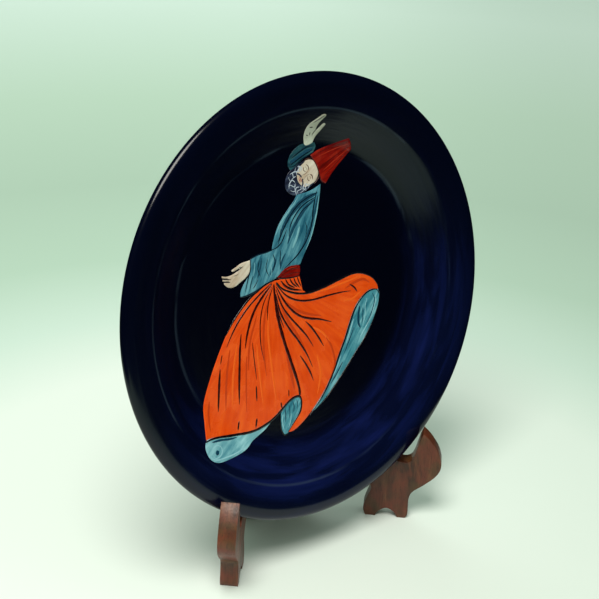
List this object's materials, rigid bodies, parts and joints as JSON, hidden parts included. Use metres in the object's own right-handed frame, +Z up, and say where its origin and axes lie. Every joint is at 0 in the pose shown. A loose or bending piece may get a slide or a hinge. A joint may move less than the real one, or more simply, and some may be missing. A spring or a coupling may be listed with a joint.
{
  "type": "hand painted ceramic plate",
  "caption": "Round glazed display plate with a painted dancer in its well, standing in a folding wooden stand of two scroll-sawn boards joined by brass butt hinges.",
  "frame": {"origin": "on the floor, under the centre of the whole object's box", "axes": "+Z up, +Y towards the back of the stand, so the painted face looks along -Y and leans back 10 degrees; +X to the right as seen from the front"},
  "size_m": [0.3, 0.0978, 0.3276],
  "materials": {
    "glaze": "gloss",
    "walnut": "satin",
    "brass": "satin"
  },
  "bodies": {
    "left_leg": {"left_board": "walnut", "lower_hinge_left_leaf": "brass", "lower_hinge_pin": "brass", "upper_hinge_left_leaf": "brass", "upper_hinge_pin": "brass", "lower_hinge_left_screw_1": "brass", "lower_hinge_left_screw_2": "brass", "upper_hinge_left_screw_1": "brass", "upper_hinge_left_screw_2": "brass"},
    "right_leg": {"right_board": "walnut", "lower_hinge_right_leaf": "brass", "upper_hinge_right_leaf": "brass", "lower_hinge_right_screw_1": "brass", "lower_hinge_right_screw_2": "brass", "upper_hinge_right_screw_1": "brass", "upper_hinge_right_screw_2": "brass"},
    "plate": {"plate": "glaze"}
  },
  "joints": [
    {"name": "plate_lift", "type": "slide", "parent": "left_leg", "child": "plate", "axis": [0, 0, 1], "range_m": [0, 0.36]},
    {"name": "stand_fold", "type": "hinge", "parent": "left_leg", "child": "right_leg", "pos_m": [0, 0.04185, 0.1], "axis": [0, 0, -1], "range_deg": [0, 90]}
  ],
  "couplings": [
    {"joint": "stand_fold", "follows": "plate_lift", "rad_per_m": 4.36}
  ]
}
